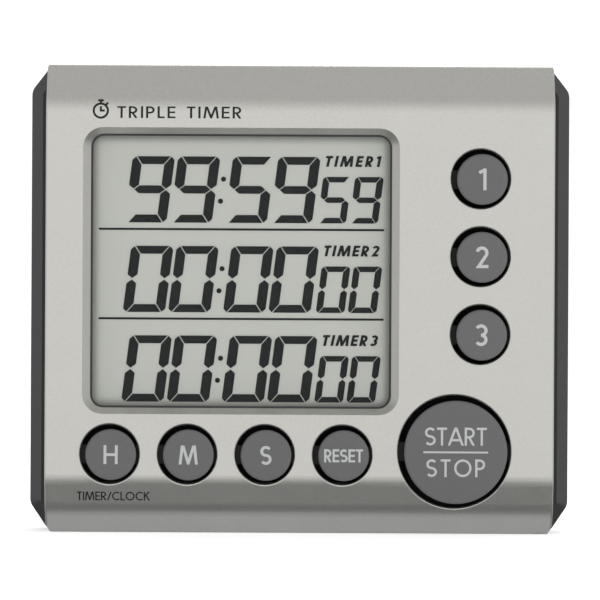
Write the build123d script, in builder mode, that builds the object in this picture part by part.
from build123d import *
from math import atan, degrees, radians, tan
import os

# A bench timer with three display rows: a silver front cover with bent top and bottom edges, set
# between the dark cheeks of a rear case. The rear case carries the battery bay with its sliding
# cover, a flip-out stand, two magnets, a hanging keyhole and the sounder.
#
# Frame: +X is the user's right, +Y points to the rear and +Z up. The case stands on z = 0, with
# x = 0 in its middle. Every "depth" is measured rearwards from the flat front face.

# ---------------------------------------------------------------- overall size
WIDTH = 115.0
HEIGHT = 100.0
CASE_DEPTH = 26.0
KEY_PROUD = 1.0
FRONT = -(CASE_DEPTH - KEY_PROUD) / 2
REAR = FRONT + CASE_DEPTH

# ---------------------------------------------------------------- front cover
COVER_WIDTH = 108.0
WALL = 2.2
PARTING = 13.0
TOP_BEND_Z = 91.2
TOP_FACET_ANGLE = 35.0
TOP_BEND_RADIUS = 7.5
TOP_EDGE_RADIUS = 1.5
LOW_BEND_Z = 11.4
LOW_FACET_ANGLE = 18.0
LOW_BEND_RADIUS = 6.8
BASE_BEND_Z = 4.8
BASE_FACET_ANGLE = 45.0
BASE_BEND_RADIUS = 8.0
BASE_EDGE_RADIUS = 0.6
COVER_TOP_ROUND = 1.2
COVER_CUT_X = 0.9
COVER_CUT_Z = 1.5
COVER_CUT_ROUND = 0.5
COVER_SIDE_ROUND = 0.4

# ---------------------------------------------------------------- display
WINDOW = (-12.5, 55.8)
WINDOW_SIZE = (63.95, 58.2)
WINDOW_CORNER = 2.8
WINDOW_BEVEL = 1.5
WINDOW_RIM_SIZE = (67.2, 60.8)
WINDOW_RIM_CORNER = 4.3
GASKET_SHOWN = 0.43
GASKET_THICK = 0.3
LENS_SIZE = (68.0, 62.2)
LENS_CORNER = 3.0
LENS_THICK = 1.2
LENS_RIB = 1.3
LENS_GAP = 0.15
GLASS_SIZE = (66.0, 62.0)
REAR_GLASS_HEIGHT = 57.4
GLASS_THICK = 0.7
POLARIZER_SIZE = (64.0, 58.2)
POLARIZER_THICK = 0.2
POLARIZER_GAP = 0.22
REFLECTOR_SIZE = (64.0, 56.4)
REFLECTOR_THICK = 0.3
FRAME_SIZE = (70.0, 64.0)
FRAME_LIP_OPENING = (64.5, 58.7)
FRAME_POCKET = (66.4, 62.4)
FRAME_BACK_HEIGHT = 56.6
FRAME_BACK_THICK = 0.9
FRAME_PEG_RADIUS = 0.7
FRAME_PEG_LENGTH = 2.1
ZEBRA_LENGTH = 62.0
ZEBRA_THICK = 1.8

# ---------------------------------------------------------------- keys
ROW_KEYS = ("key_h", "key_m", "key_s", "key_reset")
ROW_START = (-40.2, 16.9)
ROW_PITCH = 16.45
COLUMN_KEYS = ("key_3", "key_2", "key_1")
COLUMN_START = (38.25, 42.6)
COLUMN_PITCH = 16.5
START_CENTRE = (32.9, 17.75)
SMALL_WELL = 6.25
SMALL_CAP = 5.4
LARGE_WELL = 11.95
LARGE_CAP = 10.95
WELL_RIM_ROUND = 0.35
CAP_SHIFT = (0.3, -0.1)
CAP_EDGE_ROUND = 0.55
CAP_END = 4.4
EAR_START = 2.4
EAR_THICK = 0.8
EAR_REACH = 1.7
EAR_HEIGHT = 4.0
SMALL_STEM = 3.5
LARGE_STEM = 7.0
STEM_END = 7.3
SMALL_PILL = 1.8
LARGE_PILL = 3.5
PILL_THICK = 0.6

# ---------------------------------------------------------------- keypad mat and circuit board
BOARD_DEPTH = 9.0
BOARD_THICK = 1.6
BOARD_LEFT = -50.5
BOARD_RIGHT = 50.5
BOARD_BOTTOM = 5.0
BOARD_TOP = 95.0
BOARD_NOTCH = 7.2
MAT_THICK = 1.0
MAT_ROW_BOTTOM = 10.8
MAT_ROW_TOP = 23.4
MAT_COLUMN_LEFT = 31.2
MAT_COLUMN_RIGHT = 46.0
MAT_COLUMN_TOP = 84.0
MAT_START_MARGIN = 1.3
COLLAR_FRONT = 5.65
COLLAR_ROOF = 0.5
COLLAR_WALL = 0.6
COLLAR_TAPER = 12.0
STEM_GAP = 0.15
PAD_THICK = 0.05
PAD_GROW = 0.6
PAD_SPLIT = 0.5

# ---------------------------------------------------------------- screws
BOARD_SCREWS = ((-32.0, 6.9), (0.9, 6.9), (-30.0, 92.2), (5.0, 92.2), (28.0, 62.0), (28.0, 84.0))
BOARD_POST = 2.25
BOARD_SCREW = 1.0
BOARD_SCREW_LENGTH = 5.0
BOARD_HEAD = 2.0
BOARD_HEAD_THICK = 1.2
CASE_SCREWS = ((-47.5, 92.5), (47.5, 92.5), (-47.5, 7.5), (21.7, 6.4))
COVER_BOSS = 3.0
CASE_BOSS = 3.5
CASE_SCREW = 1.3
CASE_SCREW_TIP = 6.5
CASE_HEAD = 2.4
CASE_HEAD_THICK = 1.8
CASE_SEAT = 16.5
SEAT_BORE = 2.7
THREAD_GAP = 0.02
BODY_GAP = 0.2
CROSS_WIDTH = 0.6
CROSS_LENGTH = 2.2
CROSS_DEEP = 0.8

# ---------------------------------------------------------------- rear case
CHEEK_START = 4.0
CHEEK_SLOPE_X = 2.6
CHEEK_SLOPE_Y = 5.0
CASE_TOP_CUT = (4.4, 5.7)
CASE_LOW_CUT = (4.1, 6.1)
CASE_CORNER_ROUND = 3.0
CASE_REAR_ROUND = 3.0
CASE_WALL = 2.4
COVER_GAP = 0.12
LIP_THICK = 0.9
LIP_REACH = 1.2
LIP_GAP = 0.15

# ---------------------------------------------------------------- battery bay
CELL_RADIUS = 5.25
CELL_LENGTH = 44.5
CELL_NUB_RADIUS = 1.9
CELL_NUB = 1.0
CELL_EDGE = 0.5
CELL_DEPTH = 17.65
CELL_X = (32.1, 43.3)
BAY_X = (26.5, 48.9)
BAY_Z = (4.2, 55.2)
BAY_WALL = 1.5
BAY_FLOOR = 12.2
BAY_FLOOR_THICK = 1.0
PLATE_THICK = 0.4
PLATE_WIDTH = 9.0
PLATE_SPAN = (13.0, 22.0)
TAB_WIDTH = 2.0
TAB_REACH = 3.3
TAB_GAP = 0.15
SPRING_WIRE = 0.3
SPRING_BASE = 3.6
SPRING_TIP = 2.4
SPRING_TURNS = 4.5

# ---------------------------------------------------------------- battery cover
DOOR_X = (25.6, 49.8)
DOOR_Z = (0.3, 57.5)
DOOR_FRONT = 24.0
DOOR_GAP = 0.1
TONGUE = 1.0
TONGUE_THICK = 0.9
TONGUE_START = 2.0
RAIL_X = (23.0, 52.4)
RAIL_TOP = 59.5
RAIL_FRONT = 22.4
GRIP_COUNT = 5
GRIP_PITCH = 2.4
GRIP_SIZE = (14.0, 1.2)
GRIP_DEEP = 0.4
GRIP_Z = 46.0

# ---------------------------------------------------------------- stand
STAND_HALF = 16.7
STAND_BOTTOM = 5.6
STAND_THICK = 2.2
STAND_AXIS_Z = 58.0
STAND_AXIS_DEPTH = 24.4
STAND_HEAD = 1.35
STAND_HEEL = 2.02
STAND_CORNER = 3.0
STAND_GRIP_Z = 13.0
TRUNNION = 1.3
TRUNNION_GAP = 0.05
TRUNNION_END = 18.4
RECESS_HALF = 17.0
RECESS_Z = (5.0, 62.0)
RECESS_FLOOR = 23.0
RECESS_SKIN = 1.4
RECESS_SIDE = 2.5
SCOOP_HALF = 6.0
SCOOP_BOTTOM = 2.9
SCOOP_FLOOR = 23.6

# ---------------------------------------------------------------- magnets and keyhole
MAGNETS = {"magnet_left": -36.0, "magnet_right": 36.0}
MAGNET_Z = 86.0
MAGNET_RADIUS = 6.0
MAGNET_THICK = 2.9
MAGNET_EDGE = 0.3
MAGNET_SUNK = 0.1
MAGNET_GAP = 0.05
MAGNET_BOSS = 7.4
MAGNET_SKIN = 1.2
KEYHOLE_Z = 88.0
KEYHOLE_RADIUS = 4.0
KEYHOLE_SLOT = 2.0
KEYHOLE_RISE = 5.5
POCKET_HALF = 5.0
POCKET_Z = (83.5, 96.0)
POCKET_FRONT = 18.0
POCKET_WALL = 1.2

# ---------------------------------------------------------------- sounder
PIEZO = (-37.0, 48.0)
PIEZO_RADIUS = 13.5
PIEZO_THICK = 0.3
PIEZO_DEPTH = 20.5
CERAMIC_RADIUS = 10.0
CERAMIC_THICK = 0.25
FOAM_THICK = 0.4
FOAM_WIDTH = 1.2
PIEZO_WALL = 1.4
PIEZO_WALL_FRONT = 19.6
PIEZO_GAP = 0.2
SLOT_COUNT = 5
SLOT_PITCH = 3.2
SLOT_SIZE = (13.0, 1.4)

# ---------------------------------------------------------------- parts on the board
BLOB = (-10.0, 58.0)
BLOB_RADIUS = 7.0
BLOB_THICK = 1.3
BLOB_ROUND = 1.0
CRYSTAL = (-10.0, 72.0)
CRYSTAL_RADIUS = 1.5
CRYSTAL_LENGTH = 8.0
COIL = (10.0, 44.0)
COIL_RADIUS = 3.6
COIL_WAIST = 2.4
COIL_HEIGHT = 6.0
COIL_FLANGE = 1.0
CAPACITOR = (10.0, 32.0)
CAPACITOR_RADIUS = 2.5
CAPACITOR_HEIGHT = 6.5
TRANSISTOR = (1.0, 38.0)
TRANSISTOR_SIZE = (2.9, 1.5)
TRANSISTOR_THICK = 1.0
RESISTOR_SIZE = (2.0, 1.25)
RESISTOR_THICK = 0.5
RESISTOR_CENTRE = (8.0, 58.0)
RESISTOR_GRID = (2, 4)
CHIP_CAP_SIZE = (1.6, 0.9)
CHIP_CAP_THICK = 0.8
CHIP_CAP_CENTRE = (-10.0, 44.0)
CHIP_CAP_GRID = (3, 2)
CHIP_PITCH = (5.0, 3.5)

# ---------------------------------------------------------------- wires
WIRE_RADIUS = 0.5
WIRE_BEND = 1.6
WIRE_LAYER = 15.5
BATTERY_WIRE_TURN = 63.5
PIEZO_WIRE_ENDS = ((-32.0, 30.0), (-24.0, 30.0))
BATTERY_WIRE_ENDS = ((31.0, 68.5), (44.5, 68.5))


def at(depth):
    """The plane a given depth behind the front face, seen from the front."""
    return Plane.XZ.offset(-(FRONT + depth))


def plate(width, height, centre, start, end, corner=0, mode=Mode.ADD):
    """A flat block between two depths, centred on a point of the front view."""
    with BuildSketch(at(start)) as outline:
        with Locations(centre):
            if corner:
                RectangleRounded(width, height, corner)
            else:
                Rectangle(width, height)
    extrude(outline.sketch, amount=start - end, mode=mode)


def span(x, z, start, end, mode=Mode.ADD):
    """A flat block between two depths, from a pair of x values and a pair of z values."""
    centre = ((x[0] + x[1]) / 2, (z[0] + z[1]) / 2)
    plate(x[1] - x[0], z[1] - z[0], centre, start, end, mode=mode)


def rod(radius, centre, start, end, mode=Mode.ADD):
    """A round bar along the depth, between two depths."""
    with BuildSketch(at(start)) as section:
        with Locations(centre):
            Circle(radius)
    extrude(section.sketch, amount=start - end, mode=mode)


# Key centres: the wells in the cover, and the caps, which all sit a little off the wells' centres.
wells = {name: (ROW_START[0] + ROW_PITCH * i, ROW_START[1]) for i, name in enumerate(ROW_KEYS)}
wells.update({name: (COLUMN_START[0], COLUMN_START[1] + COLUMN_PITCH * i)
              for i, name in enumerate(COLUMN_KEYS)})
small_keys = tuple(wells)
wells["key_start_stop"] = START_CENTRE
caps = {name: (x + CAP_SHIFT[0], z + CAP_SHIFT[1]) for name, (x, z) in wells.items()}

# Depths of the display stack, one piece behind the other.
gasket_depth = WALL
lens_depth = gasket_depth + GASKET_THICK
frame_depth = lens_depth + LENS_THICK
polarizer_depth = frame_depth + POLARIZER_GAP
glass_depth = polarizer_depth + POLARIZER_THICK
rear_glass_depth = glass_depth + GLASS_THICK
reflector_depth = rear_glass_depth + GLASS_THICK
frame_back_depth = reflector_depth + REFLECTOR_THICK
board_rear = BOARD_DEPTH + BOARD_THICK
case_inside = CASE_DEPTH - WALL

os.makedirs("parts", exist_ok=True)

# ================================================================ front cover
# The outer form: a slab whose side profile bends back at the top and twice at the bottom.
top_facet_depth = (HEIGHT - TOP_BEND_Z) * tan(radians(TOP_FACET_ANGLE))
low_facet_depth = (LOW_BEND_Z - BASE_BEND_Z) * tan(radians(LOW_FACET_ANGLE))
base_depth = low_facet_depth + BASE_BEND_Z * tan(radians(BASE_FACET_ANGLE))
profile_points = (
    (FRONT, LOW_BEND_Z),
    (FRONT, TOP_BEND_Z),
    (FRONT + top_facet_depth, HEIGHT),
    (REAR, HEIGHT),
    (REAR, 0),
    (FRONT + base_depth, 0),
    (FRONT + low_facet_depth, BASE_BEND_Z),
)
profile_radii = (
    LOW_BEND_RADIUS,
    TOP_BEND_RADIUS,
    TOP_EDGE_RADIUS,
    0,
    0,
    BASE_EDGE_RADIUS,
    BASE_BEND_RADIUS,
)



def bent_slab(inset):
    """The slab with the bent side profile, smaller by the inset all round."""
    with BuildPart() as slab:
        with BuildSketch(Plane.YZ):
            with BuildLine():
                FilletPolyline(*profile_points, radius=profile_radii, close=True)
            make_face()
            if inset:
                offset(amount=-inset)
        extrude(amount=COVER_WIDTH / 2 - inset, both=True)
    return slab


with BuildPart() as cover_form:
    add(bent_slab(0).part)
    fillet(cover_form.faces().filter_by(Axis.X).edges(), COVER_SIDE_ROUND)
    with BuildSketch(at(0)):
        with BuildLine():
            FilletPolyline(
                (-COVER_WIDTH / 2, COVER_CUT_Z),
                (-COVER_WIDTH / 2, HEIGHT),
                (COVER_WIDTH / 2, HEIGHT),
                (COVER_WIDTH / 2, COVER_CUT_Z),
                (COVER_WIDTH / 2 - COVER_CUT_X, 0),
                (-COVER_WIDTH / 2 + COVER_CUT_X, 0),
                radius=(COVER_CUT_ROUND, COVER_TOP_ROUND, COVER_TOP_ROUND) + 3 * (COVER_CUT_ROUND,),
                close=True,
            )
        make_face()
    extrude(amount=-CASE_DEPTH, mode=Mode.INTERSECT)

# Posts for the board, bosses for the case screws and the rib around the lens. They are rooted halfway
# into the cover's wall.
with BuildPart() as cover_inside:
    for centre in BOARD_SCREWS:
        rod(BOARD_POST, centre, 0, BOARD_DEPTH)
    for centre in CASE_SCREWS:
        rod(COVER_BOSS, centre, 0, PARTING)
    rib_inner = (LENS_SIZE[0] + 2 * LENS_GAP, LENS_SIZE[1] + 2 * LENS_GAP)
    plate(rib_inner[0] + 2 * LENS_RIB, rib_inner[1] + 2 * LENS_RIB, WINDOW, WALL / 2, frame_depth,
          LENS_CORNER + LENS_RIB)
    plate(*rib_inner, WINDOW, 0, frame_depth, LENS_CORNER, mode=Mode.SUBTRACT)
    add(cover_form.part, mode=Mode.INTERSECT)

def rim_edges(piece, centre, radius):
    """The edges that a round well cuts into the face of the cover."""
    rims = []
    for edge in piece.edges():
        middle = edge.position_at(0.5)
        away = Vector(middle.X - centre[0], middle.Z - centre[1]).length
        if abs(away - radius) < THREAD_GAP and middle.Y < FRONT + WALL:
            rims.append(edge)
    return rims


with BuildPart() as front_cover:
    add(cover_form.part)
    # wells for the keys, with rounded rims
    for name, centre in wells.items():
        well = SMALL_WELL if name in small_keys else LARGE_WELL
        rod(well, centre, -KEY_PROUD, BOARD_DEPTH, mode=Mode.SUBTRACT)
        fillet(rim_edges(front_cover, centre, well), WELL_RIM_ROUND)
    # window: a bevel running down to the lip that frames the display
    plate(*WINDOW_SIZE, WINDOW, 0, BOARD_DEPTH, WINDOW_CORNER, mode=Mode.SUBTRACT)
    with BuildSketch(at(0)):
        with Locations(WINDOW):
            RectangleRounded(*WINDOW_RIM_SIZE, WINDOW_RIM_CORNER)
    with BuildSketch(at(WINDOW_BEVEL)):
        with Locations(WINDOW):
            RectangleRounded(*WINDOW_SIZE, WINDOW_CORNER)
    loft(mode=Mode.SUBTRACT)
    add(bent_slab(WALL).part, mode=Mode.SUBTRACT)
    split(bisect_by=at(PARTING), keep=Keep.TOP)
    add(cover_inside.part)
    # pilot holes for the screws
    for centre in BOARD_SCREWS:
        rod(BOARD_SCREW + THREAD_GAP, centre, BOARD_DEPTH - BOARD_SCREW_LENGTH, BOARD_DEPTH,
            mode=Mode.SUBTRACT)
    for centre in CASE_SCREWS:
        rod(CASE_SCREW + THREAD_GAP, centre, CASE_SCREW_TIP, PARTING, mode=Mode.SUBTRACT)
front_cover.part.label = "front_cover"
export_step(front_cover.part, "parts/front_cover.step")

# ================================================================ display
with BuildPart() as window_gasket:
    plate(*LENS_SIZE, WINDOW, gasket_depth, lens_depth, LENS_CORNER)
    plate(WINDOW_SIZE[0] - 2 * GASKET_SHOWN, WINDOW_SIZE[1] - 2 * GASKET_SHOWN, WINDOW, gasket_depth,
          lens_depth, WINDOW_CORNER - GASKET_SHOWN, mode=Mode.SUBTRACT)
window_gasket.part.label = "window_gasket"
export_step(window_gasket.part, "parts/window_gasket.step")

with BuildPart() as window_lens:
    plate(*LENS_SIZE, WINDOW, lens_depth, frame_depth, LENS_CORNER)
window_lens.part.label = "window_lens"
export_step(window_lens.part, "parts/window_lens.step")

with BuildPart() as lcd_front_polarizer:
    plate(*POLARIZER_SIZE, WINDOW, polarizer_depth, glass_depth)
lcd_front_polarizer.part.label = "lcd_front_polarizer"
export_step(lcd_front_polarizer.part, "parts/lcd_front_polarizer.step")

with BuildPart() as lcd_front_glass:
    plate(*GLASS_SIZE, WINDOW, glass_depth, rear_glass_depth)
lcd_front_glass.part.label = "lcd_front_glass"
export_step(lcd_front_glass.part, "parts/lcd_front_glass.step")

with BuildPart() as lcd_rear_glass:
    plate(GLASS_SIZE[0], REAR_GLASS_HEIGHT, WINDOW, rear_glass_depth, reflector_depth)
lcd_rear_glass.part.label = "lcd_rear_glass"
export_step(lcd_rear_glass.part, "parts/lcd_rear_glass.step")

with BuildPart() as lcd_reflector:
    plate(*REFLECTOR_SIZE, WINDOW, reflector_depth, frame_back_depth)
lcd_reflector.part.label = "lcd_reflector"
export_step(lcd_reflector.part, "parts/lcd_reflector.step")

# The frame holds the glass, backs the reflector and keeps a slot at top and bottom for the rubber
# connectors that join the glass to the board.
peg_x = (FRAME_SIZE[0] + FRAME_POCKET[0]) / 4
peg_z = FRAME_BACK_HEIGHT / 2
with BuildPart() as lcd_frame:
    plate(*FRAME_SIZE, WINDOW, frame_depth, BOARD_DEPTH)
    plate(*FRAME_LIP_OPENING, WINDOW, frame_depth, glass_depth, mode=Mode.SUBTRACT)
    plate(*FRAME_POCKET, WINDOW, glass_depth, BOARD_DEPTH, mode=Mode.SUBTRACT)
    plate(FRAME_SIZE[0] - FRAME_BACK_THICK, FRAME_BACK_HEIGHT, WINDOW, frame_back_depth,
          frame_back_depth + FRAME_BACK_THICK)
    for side in (-1, 1):
        for end in (-1, 1):
            rod(FRAME_PEG_RADIUS, (WINDOW[0] + side * peg_x, WINDOW[1] + end * peg_z), BOARD_DEPTH,
                BOARD_DEPTH + FRAME_PEG_LENGTH)
lcd_frame.part.label = "lcd_frame"
export_step(lcd_frame.part, "parts/lcd_frame.step")

zebra_z = (FRAME_POCKET[1] / 2 + REAR_GLASS_HEIGHT / 2) / 2
for name, end in (("zebra_strip_top", 1), ("zebra_strip_bottom", -1)):
    with BuildPart() as zebra_strip:
        plate(ZEBRA_LENGTH, ZEBRA_THICK, (WINDOW[0], WINDOW[1] + end * zebra_z), rear_glass_depth,
              BOARD_DEPTH)
    zebra_strip.part.label = name
    export_step(zebra_strip.part, f"parts/{name}.step")

# ================================================================ keys
def key_cap(name):
    """A cap with two side ears that stop it behind the cover, and the stem it presses with."""
    small = name in small_keys
    cap = SMALL_CAP if small else LARGE_CAP
    well = SMALL_WELL if small else LARGE_WELL
    with BuildPart() as key:
        rod(cap, caps[name], -KEY_PROUD, CAP_END)
        fillet(key.faces().sort_by(Axis.Y)[0].edges(), CAP_EDGE_ROUND)
        plate(2 * (well + EAR_REACH), EAR_HEIGHT, caps[name], EAR_START, EAR_START + EAR_THICK)
        rod(SMALL_STEM if small else LARGE_STEM, caps[name], CAP_END, STEM_END)
    return key


def contact_pill(name):
    """The conductive pill on the end of a key's stem."""
    with BuildPart() as pill:
        rod(SMALL_PILL if name in small_keys else LARGE_PILL, caps[name], STEM_END,
            STEM_END + PILL_THICK)
    return pill


for name in wells:
    key = key_cap(name)
    key.part.label = name
    export_step(key.part, f"parts/{name}.step")
    pill = contact_pill(name)
    pill.part.label = name.replace("key", "pill")
    export_step(pill.part, f"parts/{pill.part.label}.step")

# The rubber mat: a sheet on the board with a hollow tapered collar round each stem, which bends as
# the key goes down. The collars stay clear of the stems here.
mat_front = BOARD_DEPTH - MAT_THICK
collar_height = mat_front - COLLAR_FRONT
row_x = (ROW_START[0] - SMALL_WELL, START_CENTRE[0])
column_x = (MAT_COLUMN_LEFT, MAT_COLUMN_RIGHT)
with BuildPart() as keypad_mat:
    span(row_x, (MAT_ROW_BOTTOM, MAT_ROW_TOP), mat_front, BOARD_DEPTH)
    span(column_x, (START_CENTRE[1], MAT_COLUMN_TOP), mat_front, BOARD_DEPTH)
    rod(LARGE_CAP + MAT_START_MARGIN, caps["key_start_stop"], mat_front, BOARD_DEPTH)
    for name, centre in caps.items():
        cap = SMALL_CAP if name in small_keys else LARGE_CAP
        stem = SMALL_STEM if name in small_keys else LARGE_STEM
        with BuildSketch(at(mat_front)):
            with Locations(centre):
                Circle(cap)
        extrude(amount=collar_height, taper=COLLAR_TAPER)
        with BuildSketch(at(BOARD_DEPTH)):
            with Locations(centre):
                Circle(cap - COLLAR_WALL + MAT_THICK * tan(radians(COLLAR_TAPER)))
        extrude(amount=MAT_THICK + collar_height - COLLAR_ROOF, taper=COLLAR_TAPER, mode=Mode.SUBTRACT)
        rod(stem + STEM_GAP, centre, COLLAR_FRONT, BOARD_DEPTH, mode=Mode.SUBTRACT)
keypad_mat.part.label = "keypad_mat"
export_step(keypad_mat.part, "parts/keypad_mat.step")

# ================================================================ circuit board
# Contact pads: two half-moons under each pill.
with BuildPart() as key_contacts:
    for name, centre in caps.items():
        pill = SMALL_PILL if name in small_keys else LARGE_PILL
        rod(pill + PAD_GROW, centre, BOARD_DEPTH - PAD_THICK, BOARD_DEPTH)
        plate(PAD_SPLIT, 2 * LARGE_WELL, centre, BOARD_DEPTH - PAD_THICK, BOARD_DEPTH,
              mode=Mode.SUBTRACT)
key_contacts.part.label = "key_contacts"
export_step(key_contacts.part, "parts/key_contacts.step")

with BuildPart() as circuit_board:
    span((BOARD_LEFT, BOARD_RIGHT), (BOARD_BOTTOM, BOARD_TOP), BOARD_DEPTH, board_rear)
    # room for the screw bosses in three corners and beside the battery bay
    for centre in CASE_SCREWS:
        plate(BOARD_NOTCH, 2 * BOARD_NOTCH, centre, BOARD_DEPTH, board_rear, mode=Mode.SUBTRACT)
    for centre in BOARD_SCREWS:
        rod(BOARD_SCREW + BODY_GAP, centre, BOARD_DEPTH, board_rear, mode=Mode.SUBTRACT)
    for side in (-1, 1):
        for end in (-1, 1):
            rod(FRAME_PEG_RADIUS + THREAD_GAP, (WINDOW[0] + side * peg_x, WINDOW[1] + end * peg_z),
                BOARD_DEPTH, board_rear, mode=Mode.SUBTRACT)
circuit_board.part.label = "circuit_board"
export_step(circuit_board.part, "parts/circuit_board.step")


def crossed_screw(shank, length, head, head_thick, centre, seat):
    """A round-headed screw driven forwards into the cover, with a cross slot in its head."""
    rod(shank, centre, seat - length, seat)
    rod(head, centre, seat, seat + head_thick)
    for width, height in ((CROSS_LENGTH, CROSS_WIDTH), (CROSS_WIDTH, CROSS_LENGTH)):
        plate(width, height, centre, seat + head_thick - CROSS_DEEP, seat + head_thick,
              mode=Mode.SUBTRACT)


with BuildPart() as board_screws:
    for centre in BOARD_SCREWS:
        crossed_screw(BOARD_SCREW, BOARD_SCREW_LENGTH, BOARD_HEAD, BOARD_HEAD_THICK, centre, board_rear)
board_screws.part.label = "board_screws"
export_step(board_screws.part, "parts/board_screws.step")

with BuildPart() as case_screws:
    for centre in CASE_SCREWS:
        crossed_screw(CASE_SCREW, CASE_SEAT - CASE_SCREW_TIP, CASE_HEAD, CASE_HEAD_THICK, centre, CASE_SEAT)
case_screws.part.label = "case_screws"
export_step(case_screws.part, "parts/case_screws.step")

with BuildPart() as controller_blob:
    rod(BLOB_RADIUS, BLOB, board_rear, board_rear + BLOB_THICK)
    fillet(controller_blob.edges().sort_by(Axis.Y)[-1], BLOB_ROUND)
controller_blob.part.label = "controller_blob"
export_step(controller_blob.part, "parts/controller_blob.step")

crystal_y = FRONT + board_rear + CRYSTAL_RADIUS
with BuildPart() as quartz_crystal:
    with BuildSketch(Plane.YZ.offset(CRYSTAL[0] - CRYSTAL_LENGTH / 2)):
        with Locations((crystal_y, CRYSTAL[1])):
            Circle(CRYSTAL_RADIUS)
    extrude(amount=CRYSTAL_LENGTH)
quartz_crystal.part.label = "quartz_crystal"
export_step(quartz_crystal.part, "parts/quartz_crystal.step")

with BuildPart() as boost_coil:
    rod(COIL_RADIUS, COIL, board_rear, board_rear + COIL_FLANGE)
    rod(COIL_WAIST, COIL, board_rear, board_rear + COIL_HEIGHT)
    rod(COIL_RADIUS, COIL, board_rear + COIL_HEIGHT - COIL_FLANGE, board_rear + COIL_HEIGHT)
boost_coil.part.label = "boost_coil"
export_step(boost_coil.part, "parts/boost_coil.step")

with BuildPart() as electrolytic_capacitor:
    rod(CAPACITOR_RADIUS, CAPACITOR, board_rear, board_rear + CAPACITOR_HEIGHT)
electrolytic_capacitor.part.label = "electrolytic_capacitor"
export_step(electrolytic_capacitor.part, "parts/electrolytic_capacitor.step")

with BuildPart() as drive_transistor:
    plate(*TRANSISTOR_SIZE, TRANSISTOR, board_rear, board_rear + TRANSISTOR_THICK)
drive_transistor.part.label = "drive_transistor"
export_step(drive_transistor.part, "parts/drive_transistor.step")


def chip_group(size, thick, centre, grid):
    """Small chips in a grid, soldered to the rear of the board."""
    with BuildPart() as chips:
        with BuildSketch(at(board_rear)) as pads:
            with Locations(centre):
                with GridLocations(*CHIP_PITCH, *grid):
                    Rectangle(*size)
        extrude(pads.sketch, amount=-thick)
    return chips


chip_resistors = chip_group(RESISTOR_SIZE, RESISTOR_THICK, RESISTOR_CENTRE, RESISTOR_GRID)
chip_resistors.part.label = "chip_resistors"
export_step(chip_resistors.part, "parts/chip_resistors.step")
chip_capacitors = chip_group(CHIP_CAP_SIZE, CHIP_CAP_THICK, CHIP_CAP_CENTRE, CHIP_CAP_GRID)
chip_capacitors.part.label = "chip_capacitors"
export_step(chip_capacitors.part, "parts/chip_capacitors.step")

# ================================================================ rear case
half_width = WIDTH / 2


def case_outline():
    """Draw the eight-sided outline of the rear case, as in the front view."""
    FilletPolyline(
        (-half_width, CASE_LOW_CUT[1]),
        (-half_width, HEIGHT - CASE_TOP_CUT[1]),
        (-half_width + CASE_TOP_CUT[0], HEIGHT),
        (half_width - CASE_TOP_CUT[0], HEIGHT),
        (half_width, HEIGHT - CASE_TOP_CUT[1]),
        (half_width, CASE_LOW_CUT[1]),
        (half_width - CASE_LOW_CUT[0], 0),
        (-half_width + CASE_LOW_CUT[0], 0),
        radius=CASE_CORNER_ROUND,
        close=True,
    )


with BuildPart() as case_form:
    with BuildSketch(at(CHEEK_START)):
        with BuildLine():
            case_outline()
        make_face()
    extrude(amount=CHEEK_START - CASE_DEPTH)
    cheek_face = case_form.faces().sort_by(Axis.Y)[0]
    chamfer(cheek_face.edges(), CHEEK_SLOPE_X, CHEEK_SLOPE_Y, reference=cheek_face)
    fillet(case_form.faces().sort_by(Axis.Y)[-1].edges(), CASE_REAR_ROUND)

# Everything that stands inside the case or thickens its rear wall.
with BuildPart() as case_inside_form:
    # battery bay and the rails of its cover
    span((BAY_X[0] - BAY_WALL, BAY_X[1] + BAY_WALL), (WALL + BODY_GAP, BAY_Z[1] + BAY_WALL),
         BAY_FLOOR - BAY_FLOOR_THICK, CASE_DEPTH)
    span((BAY_X[0] - BAY_WALL, BAY_X[1] + BAY_WALL), (0, BAY_Z[0]), PARTING, CASE_DEPTH)
    span(RAIL_X, (0, RAIL_TOP), RAIL_FRONT, CASE_DEPTH)
    # housing of the stand
    span((-RECESS_HALF - RECESS_SIDE, RECESS_HALF + RECESS_SIDE), (0, RECESS_Z[1] + BAY_WALL),
         RECESS_FLOOR - RECESS_SKIN, CASE_DEPTH)
    # dust pocket behind the keyhole
    span((-POCKET_HALF - POCKET_WALL, POCKET_HALF + POCKET_WALL),
         (POCKET_Z[0] - POCKET_WALL, POCKET_Z[1] + POCKET_WALL), POCKET_FRONT - POCKET_WALL, CASE_DEPTH)
    # sounder seat, magnet seats and screw columns
    rod(PIEZO_RADIUS + PIEZO_GAP + PIEZO_WALL, PIEZO, PIEZO_WALL_FRONT, CASE_DEPTH)
    for x in MAGNETS.values():
        rod(MAGNET_BOSS, (x, MAGNET_Z), CASE_DEPTH - MAGNET_SUNK - MAGNET_THICK - MAGNET_SKIN, CASE_DEPTH)
    for centre in CASE_SCREWS:
        rod(CASE_BOSS, centre, PARTING, CASE_DEPTH)
    add(case_form.part, mode=Mode.INTERSECT)

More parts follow.
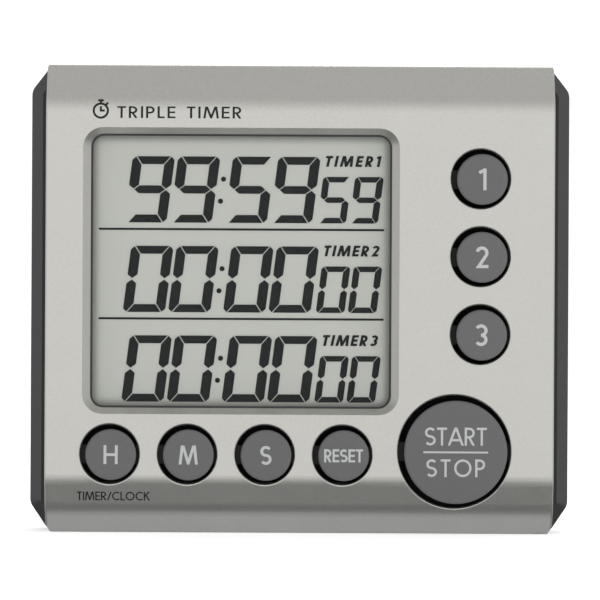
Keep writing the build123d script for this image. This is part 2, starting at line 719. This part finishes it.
foam_depth = PIEZO_DEPTH + PIEZO_THICK
ledge_depth = foam_depth + FOAM_THICK
with BuildPart() as rear_case:
    add(case_form.part)
    plate(COVER_WIDTH + 2 * COVER_GAP, 3 * HEIGHT, (0, HEIGHT / 2), 0, PARTING, mode=Mode.SUBTRACT)
    with BuildSketch(at(PARTING)):
        with BuildLine():
            case_outline()
        make_face()
        offset(amount=-CASE_WALL)
    extrude(amount=PARTING - case_inside, mode=Mode.SUBTRACT)
    # lip that registers the case inside the cover
    lip_half = COVER_WIDTH / 2 - WALL - LIP_GAP
    span((-lip_half, lip_half), (WALL + LIP_GAP, HEIGHT - WALL - LIP_GAP), PARTING - LIP_REACH, case_inside)
    span((LIP_THICK - lip_half, lip_half - LIP_THICK),
         (WALL + LIP_GAP + LIP_THICK, HEIGHT - WALL - LIP_GAP - LIP_THICK), 0, case_inside,
         mode=Mode.SUBTRACT)
    add(case_inside_form.part)
    # battery bay, its cover's opening and the grooves for the tongues
    span(BAY_X, BAY_Z, BAY_FLOOR, CASE_DEPTH, mode=Mode.SUBTRACT)
    span((DOOR_X[0] - DOOR_GAP, DOOR_X[1] + DOOR_GAP), (-HEIGHT, DOOR_Z[1] + DOOR_GAP),
         DOOR_FRONT - DOOR_GAP, CASE_DEPTH, mode=Mode.SUBTRACT)
    span((DOOR_X[0] - TONGUE - DOOR_GAP, DOOR_X[1] + TONGUE + DOOR_GAP), (-HEIGHT, DOOR_Z[1] + DOOR_GAP),
         DOOR_FRONT - DOOR_GAP, DOOR_FRONT + TONGUE_THICK + DOOR_GAP, mode=Mode.SUBTRACT)
    # recess of the stand, the scoop for a fingertip and the holes for its trunnions
    span((-RECESS_HALF, RECESS_HALF), RECESS_Z, RECESS_FLOOR, CASE_DEPTH, mode=Mode.SUBTRACT)
    span((-SCOOP_HALF, SCOOP_HALF), (SCOOP_BOTTOM, RECESS_Z[0] + BODY_GAP), SCOOP_FLOOR, CASE_DEPTH,
         mode=Mode.SUBTRACT)
    with BuildSketch(Plane.YZ):
        with Locations((FRONT + STAND_AXIS_DEPTH, STAND_AXIS_Z)):
            Circle(TRUNNION + TRUNNION_GAP)
    extrude(amount=TRUNNION_END + BODY_GAP, both=True, mode=Mode.SUBTRACT)
    # keyhole and its dust pocket
    span((-POCKET_HALF, POCKET_HALF), POCKET_Z, POCKET_FRONT, case_inside, mode=Mode.SUBTRACT)
    rod(KEYHOLE_RADIUS, (0, KEYHOLE_Z), case_inside, CASE_DEPTH, mode=Mode.SUBTRACT)
    with BuildSketch(at(case_inside)):
        with Locations((0, KEYHOLE_Z + KEYHOLE_RISE / 2)):
            SlotCenterToCenter(KEYHOLE_RISE, 2 * KEYHOLE_SLOT, rotation=90)
    extrude(amount=case_inside - CASE_DEPTH, mode=Mode.SUBTRACT)
    # magnet seats
    for x in MAGNETS.values():
        rod(MAGNET_RADIUS + MAGNET_GAP, (x, MAGNET_Z), CASE_DEPTH - MAGNET_SUNK - MAGNET_THICK, CASE_DEPTH,
            mode=Mode.SUBTRACT)
    # sounder seat with its ledge, and the sound slots
    rod(PIEZO_RADIUS + PIEZO_GAP, PIEZO, PIEZO_WALL_FRONT, ledge_depth, mode=Mode.SUBTRACT)
    rod(PIEZO_RADIUS - FOAM_WIDTH, PIEZO, PIEZO_WALL_FRONT, case_inside, mode=Mode.SUBTRACT)
    with BuildSketch(at(case_inside)):
        with Locations(PIEZO):
            with GridLocations(0, SLOT_PITCH, 1, SLOT_COUNT):
                SlotOverall(*SLOT_SIZE)
    extrude(amount=case_inside - CASE_DEPTH, mode=Mode.SUBTRACT)
    # screw holes
    for centre in CASE_SCREWS:
        rod(CASE_SCREW + BODY_GAP, centre, PARTING, CASE_DEPTH, mode=Mode.SUBTRACT)
        rod(SEAT_BORE, centre, CASE_SEAT, CASE_DEPTH, mode=Mode.SUBTRACT)
    # slots in the bay's top wall for the tabs of the contact plates
    for x in CELL_X:
        span((x - TAB_WIDTH / 2 - TAB_GAP, x + TAB_WIDTH / 2 + TAB_GAP),
             (BAY_Z[1] - BAY_WALL, BAY_Z[1] + 2 * BAY_WALL), PLATE_SPAN[0] - TAB_GAP,
             PLATE_SPAN[0] + PLATE_THICK + TAB_GAP, mode=Mode.SUBTRACT)
rear_case.part.label = "rear_case"
export_step(rear_case.part, "parts/rear_case.step")

# ================================================================ batteries and their contacts
bay_top_plate = BAY_Z[1] - PLATE_THICK
bay_low_plate = BAY_Z[0] + PLATE_THICK
# The first cell stands with its nub up against the top plate, the second with its nub down.
cell_ends = ((bay_top_plate, -1), (bay_low_plate, 1))
for number, (x, (nub_end, away)) in enumerate(zip(CELL_X, cell_ends), start=1):
    with BuildPart() as battery:
        with BuildSketch(Plane.XY.offset(nub_end + away * CELL_NUB)):
            with Locations((x, FRONT + CELL_DEPTH)):
                Circle(CELL_RADIUS)
        extrude(amount=away * (CELL_LENGTH - CELL_NUB))
        fillet(battery.edges().filter_by(GeomType.CIRCLE), CELL_EDGE)
        with BuildSketch(Plane.XY.offset(nub_end)):
            with Locations((x, FRONT + CELL_DEPTH)):
                Circle(CELL_NUB_RADIUS)
        extrude(amount=away * CELL_NUB)
    battery.part.label = f"battery_{number}"
    export_step(battery.part, f"parts/battery_{number}.step")

with BuildPart() as battery_link_plate:
    span((CELL_X[0] - PLATE_WIDTH / 2, CELL_X[1] + PLATE_WIDTH / 2), (BAY_Z[0], bay_low_plate), *PLATE_SPAN)
battery_link_plate.part.label = "battery_link_plate"
export_step(battery_link_plate.part, "parts/battery_link_plate.step")

for name, x in zip(("battery_plus_plate", "battery_minus_plate"), CELL_X):
    with BuildPart() as contact_plate:
        span((x - PLATE_WIDTH / 2, x + PLATE_WIDTH / 2), (bay_top_plate, BAY_Z[1]), *PLATE_SPAN)
        span((x - TAB_WIDTH / 2, x + TAB_WIDTH / 2), (bay_top_plate, BAY_Z[1] + TAB_REACH), PLATE_SPAN[0],
             PLATE_SPAN[0] + PLATE_THICK)
    contact_plate.part.label = name
    export_step(contact_plate.part, f"parts/{name}.step")

# Tapered coil springs press on the flat ends of the cells.
flat_ends = (bay_top_plate - CELL_LENGTH, bay_low_plate + CELL_LENGTH)
spring_seats = (bay_low_plate, bay_top_plate)
for number, (x, seat, flat_end) in enumerate(zip(CELL_X, spring_seats, flat_ends), start=1):
    room = abs(flat_end - seat) - 2 * SPRING_WIRE
    toward_cell = 1 if flat_end > seat else -1
    base = Vector(x, FRONT + CELL_DEPTH, seat + toward_cell * SPRING_WIRE)
    narrowing = degrees(atan((SPRING_TIP - SPRING_BASE) / room))
    with BuildPart() as battery_spring:
        with BuildLine() as coil:
            Helix(room / SPRING_TURNS, room, SPRING_BASE, center=base, direction=(0, 0, toward_cell),
                  cone_angle=narrowing)
        with BuildSketch(Plane(origin=coil.line @ 0, z_dir=coil.line % 0)):
            Circle(SPRING_WIRE)
        sweep(path=coil.line, is_frenet=True)
    battery_spring.part.label = f"battery_spring_{number}"
    export_step(battery_spring.part, f"parts/battery_spring_{number}.step")

# ================================================================ battery cover
with BuildPart() as battery_cover:
    span(DOOR_X, DOOR_Z, DOOR_FRONT, CASE_DEPTH)
    add(case_form.part, mode=Mode.INTERSECT)
    span((DOOR_X[0] - TONGUE, DOOR_X[1] + TONGUE), (TONGUE_START, DOOR_Z[1]), DOOR_FRONT,
         DOOR_FRONT + TONGUE_THICK)
    with BuildSketch(at(CASE_DEPTH)):
        with Locations(((DOOR_X[0] + DOOR_X[1]) / 2, GRIP_Z)):
            with GridLocations(0, GRIP_PITCH, 1, GRIP_COUNT):
                SlotOverall(*GRIP_SIZE)
    extrude(amount=GRIP_DEEP, mode=Mode.SUBTRACT)
battery_cover.part.label = "battery_cover"
export_step(battery_cover.part, "parts/battery_cover.step")

# ================================================================ stand
# A flat leg with a round head on the hinge line. The heel above the line meets the recess floor when
# the leg is fully open.
stand_front = STAND_AXIS_DEPTH - STAND_THICK / 2
stand_rear = STAND_AXIS_DEPTH + STAND_THICK / 2
with BuildPart() as stand:
    span((-STAND_HALF, STAND_HALF), (STAND_BOTTOM, STAND_AXIS_Z), stand_front, stand_rear)
    fillet(stand.edges().filter_by(Axis.Y).group_by(Axis.Z)[0], STAND_CORNER)
    # thumb grooves near the foot
    with BuildSketch(at(stand_rear)):
        with Locations((0, STAND_GRIP_Z)):
            with GridLocations(0, GRIP_PITCH, 1, GRIP_COUNT):
                SlotOverall(*GRIP_SIZE)
    extrude(amount=GRIP_DEEP, mode=Mode.SUBTRACT)
    # head and heel
    with BuildSketch(Plane.YZ):
        with Locations((FRONT + STAND_AXIS_DEPTH, STAND_AXIS_Z)):
            Circle(STAND_HEAD)
            Rectangle(STAND_THICK / 2, STAND_HEEL, align=(Align.MIN, Align.MIN))
    extrude(amount=STAND_HALF, both=True)
    with BuildSketch(Plane.YZ):
        with Locations((FRONT + STAND_AXIS_DEPTH, STAND_AXIS_Z)):
            Circle(TRUNNION)
    extrude(amount=TRUNNION_END, both=True)
stand.part.label = "stand"
export_step(stand.part, "parts/stand.step")

# ================================================================ magnets and sounder
for name, x in MAGNETS.items():
    with BuildPart() as magnet:
        rod(MAGNET_RADIUS, (x, MAGNET_Z), CASE_DEPTH - MAGNET_SUNK - MAGNET_THICK, CASE_DEPTH - MAGNET_SUNK)
        fillet(magnet.edges().filter_by(GeomType.CIRCLE), MAGNET_EDGE)
    magnet.part.label = name
    export_step(magnet.part, f"parts/{name}.step")

with BuildPart() as piezo_disc:
    rod(PIEZO_RADIUS, PIEZO, PIEZO_DEPTH, foam_depth)
piezo_disc.part.label = "piezo_disc"
export_step(piezo_disc.part, "parts/piezo_disc.step")

with BuildPart() as piezo_ceramic:
    rod(CERAMIC_RADIUS, PIEZO, PIEZO_DEPTH - CERAMIC_THICK, PIEZO_DEPTH)
piezo_ceramic.part.label = "piezo_ceramic"
export_step(piezo_ceramic.part, "parts/piezo_ceramic.step")

with BuildPart() as piezo_foam_ring:
    rod(PIEZO_RADIUS, PIEZO, foam_depth, ledge_depth)
    rod(PIEZO_RADIUS - FOAM_WIDTH, PIEZO, foam_depth, ledge_depth, mode=Mode.SUBTRACT)
piezo_foam_ring.part.label = "piezo_foam_ring"
export_step(piezo_foam_ring.part, "parts/piezo_foam_ring.step")


# ================================================================ wires
def wire(*stops):
    """An insulated lead along straight runs with round bends; a stop is x, depth, z."""
    route = [Vector(x, FRONT + depth, z) for x, depth, z in stops]
    with BuildPart() as lead:
        with BuildLine() as path:
            FilletPolyline(*route, radius=WIRE_BEND)
        with BuildSketch(Plane(origin=path.line @ 0, z_dir=path.line % 0)) as section:
            Circle(WIRE_RADIUS)
        sweep(section.sketch, path=path.line)
    return lead


tab_top = BAY_Z[1] + TAB_REACH
tab_rear = PLATE_SPAN[0] + PLATE_THICK / 2
wire_runs = {
    "piezo_wire_1": (
        (PIEZO[0] + CERAMIC_RADIUS / 2, PIEZO_DEPTH - CERAMIC_THICK, PIEZO[1]),
        (PIEZO[0] + CERAMIC_RADIUS / 2, WIRE_LAYER, PIEZO[1]),
        (PIEZO_WIRE_ENDS[0][0], WIRE_LAYER, PIEZO_WIRE_ENDS[0][1]),
        (PIEZO_WIRE_ENDS[0][0], board_rear, PIEZO_WIRE_ENDS[0][1]),
    ),
    "piezo_wire_2": (
        (PIEZO[0] + (CERAMIC_RADIUS + PIEZO_RADIUS) / 2, PIEZO_DEPTH, PIEZO[1]),
        (PIEZO[0] + (CERAMIC_RADIUS + PIEZO_RADIUS) / 2, WIRE_LAYER, PIEZO[1]),
        (PIEZO_WIRE_ENDS[1][0], WIRE_LAYER, PIEZO_WIRE_ENDS[1][1]),
        (PIEZO_WIRE_ENDS[1][0], board_rear, PIEZO_WIRE_ENDS[1][1]),
    ),
    "battery_wire_plus": (
        (CELL_X[0], tab_rear, tab_top),
        (CELL_X[0], tab_rear, BATTERY_WIRE_TURN),
        (BATTERY_WIRE_ENDS[0][0], tab_rear + WIRE_BEND, BATTERY_WIRE_ENDS[0][1]),
        (BATTERY_WIRE_ENDS[0][0], board_rear, BATTERY_WIRE_ENDS[0][1]),
    ),
    "battery_wire_minus": (
        (CELL_X[1], tab_rear, tab_top),
        (CELL_X[1], tab_rear, BATTERY_WIRE_TURN),
        (BATTERY_WIRE_ENDS[1][0], tab_rear + WIRE_BEND, BATTERY_WIRE_ENDS[1][1]),
        (BATTERY_WIRE_ENDS[1][0], board_rear, BATTERY_WIRE_ENDS[1][1]),
    ),
}
for name, stops in wire_runs.items():
    lead = wire(*stops)
    lead.part.label = name
    export_step(lead.part, f"parts/{name}.step")
